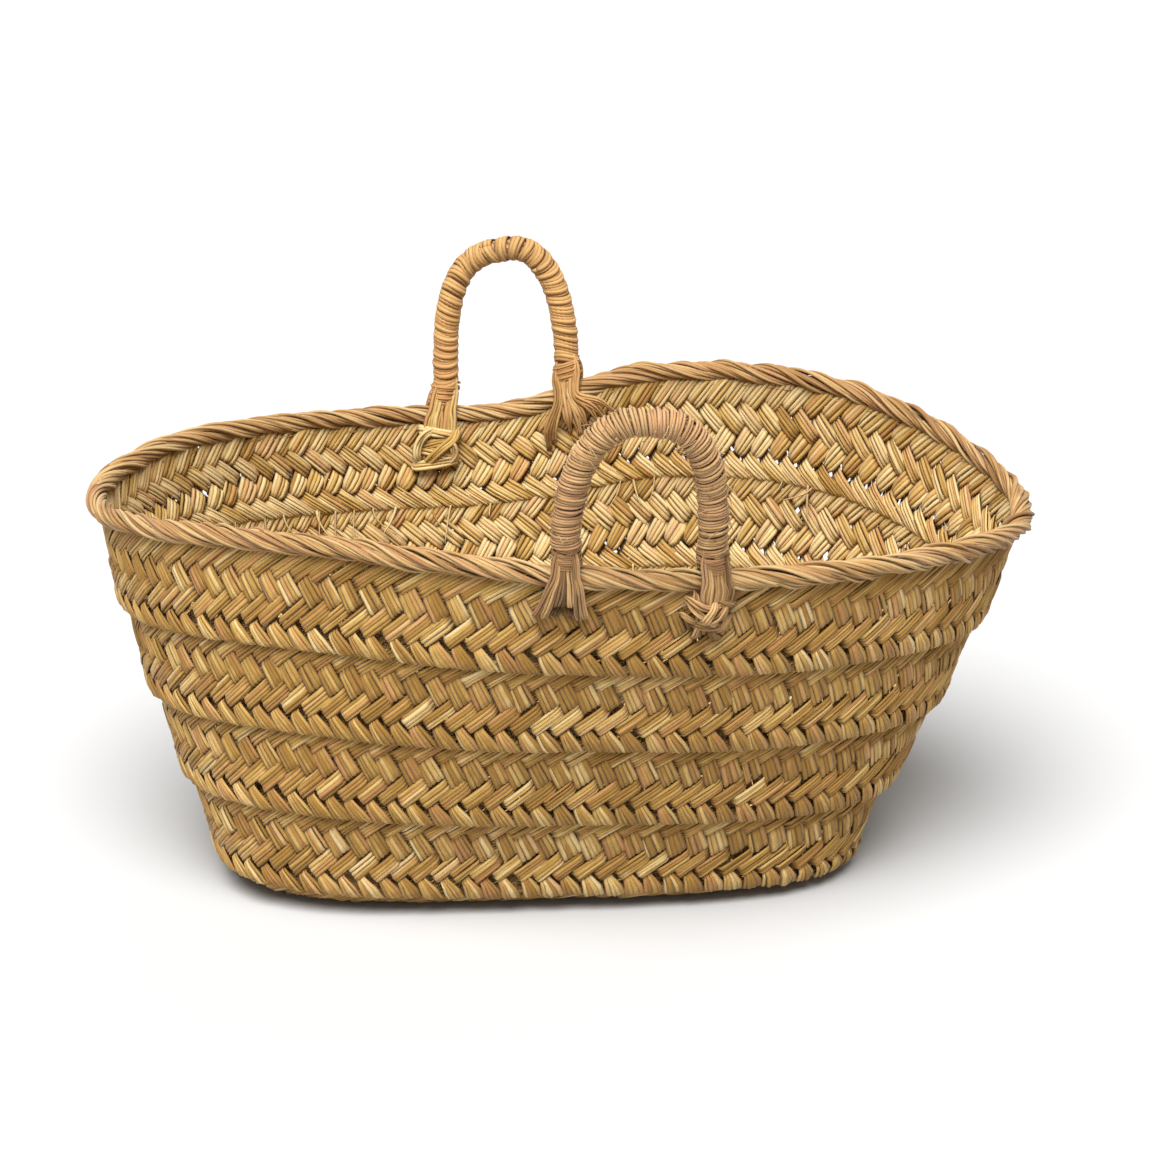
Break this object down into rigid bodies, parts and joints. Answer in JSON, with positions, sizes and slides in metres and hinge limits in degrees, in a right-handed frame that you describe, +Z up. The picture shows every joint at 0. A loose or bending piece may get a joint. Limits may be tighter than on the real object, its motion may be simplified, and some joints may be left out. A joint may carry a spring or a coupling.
{
  "type": "storage basket",
  "caption": "Oval flared open basket of flat plaited grass leaf, coiled and sewn edge to edge, with a twisted rope rim and upright rope handles that flex at the rim.",
  "frame": {"origin": "on the flat underside of the base, near its middle, in the plane that the basket rests on", "axes": "+X along the basket's length, +Y from the front handle towards the rear handle, +Z up"},
  "size_m": [0.5722, 0.384, 0.3404],
  "materials": {
    "plaited_leaf": "dry matt plaited grass leaf, golden straw with olive and tan strands",
    "sewing_cord": "thin twisted grass cord, darker in the seams",
    "twisted_leaf": "twisted or wound grass leaf, pale straw with fine fibres"
  },
  "bodies": {
    "basket": {"base_seam_cord_1": "sewing_cord", "base_seam_cord_2": "sewing_cord", "base_turn_1": "plaited_leaf", "base_turn_2": "plaited_leaf", "front_handle_knot": "twisted_leaf", "front_handle_splay": "twisted_leaf", "rear_handle_knot": "twisted_leaf", "rear_handle_splay": "twisted_leaf", "rim_rope": "twisted_leaf", "rim_seam_cord": "sewing_cord", "wall_seam_cord_1": "sewing_cord", "wall_seam_cord_2": "sewing_cord", "wall_seam_cord_3": "sewing_cord", "wall_seam_cord_4": "sewing_cord", "wall_turn_1": "plaited_leaf", "wall_turn_2": "plaited_leaf", "wall_turn_3": "plaited_leaf", "wall_turn_4": "plaited_leaf"},
    "front_handle": {"front_handle_core": "sewing_cord", "front_handle_wrap": "twisted_leaf"},
    "rear_handle": {"rear_handle_core": "sewing_cord", "rear_handle_wrap": "twisted_leaf"}
  },
  "joints": [
    {"name": "front_handle_tilt", "type": "hinge", "parent": "basket", "child": "front_handle", "pos_m": [0.0432, -0.17974, 0.25136], "axis": [0.9968, 0.0492, -0.0634], "range_deg": [-75, 60], "stiffness_Nm_per_rad": 0.35},
    {"name": "rear_handle_tilt", "type": "hinge", "parent": "basket", "child": "rear_handle", "pos_m": [-0.02566, 0.15712, 0.24615], "axis": [-0.9826, 0.0234, -0.1844], "range_deg": [-75, 60], "stiffness_Nm_per_rad": 0.35}
  ]
}
